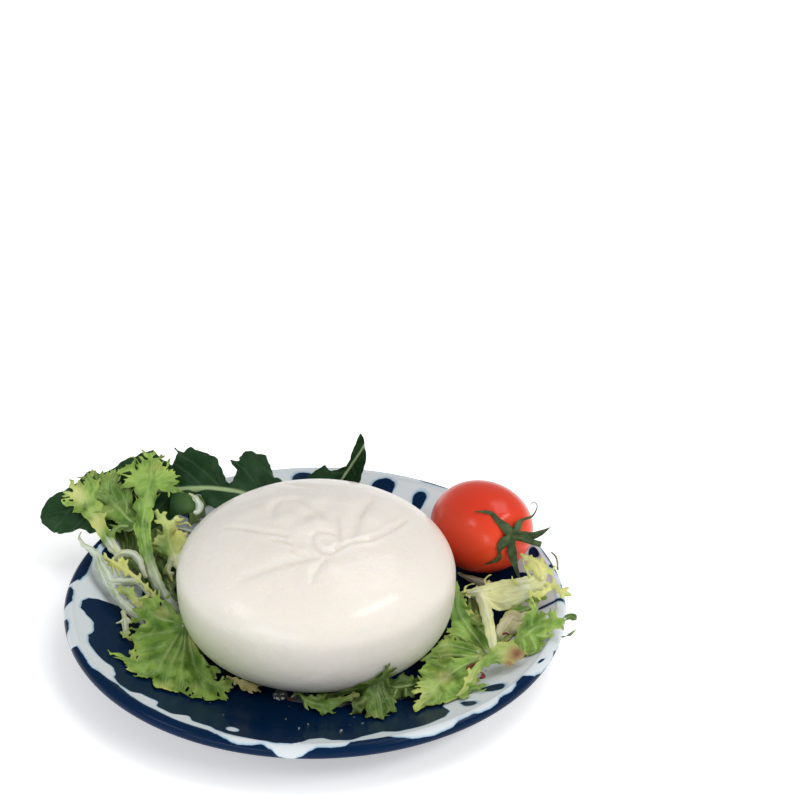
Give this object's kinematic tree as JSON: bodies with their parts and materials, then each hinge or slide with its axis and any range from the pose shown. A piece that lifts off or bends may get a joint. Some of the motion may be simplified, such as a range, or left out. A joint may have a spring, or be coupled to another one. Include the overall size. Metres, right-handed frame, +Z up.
{
  "type": "burrata on a plate with salad and a tomato",
  "caption": "Plump burrata with a tied, pleated crown on a round blue and white ceramic plate, with loose salad leaves and a small plum tomato.",
  "frame": {"origin": "centre of the plate's flat foot, on the table", "axes": "+Z up, -Y towards the diner, +X to the diner's right"},
  "size_m": [0.2042, 0.19, 0.0626],
  "materials": {
    "glazed_plate": "glossy dark blue glaze with a milk-white wavy border that lets drops of the blue show",
    "curd_skin": null,
    "tomato_skin": null,
    "calyx": null,
    "dark_leaf": null,
    "pale_leaf": null
  },
  "bodies": {
    "root": {"plate": "glazed_plate", "burrata": "curd_skin", "tomato": "tomato_skin", "tomato_calyx": "calyx", "rocket_leaf": "dark_leaf", "rocket_leaf_small": "dark_leaf", "frisee_left": "pale_leaf", "frisee_fan": "pale_leaf", "frisee_front": "pale_leaf", "frisee_right": "pale_leaf"}
  },
  "joints": []
}
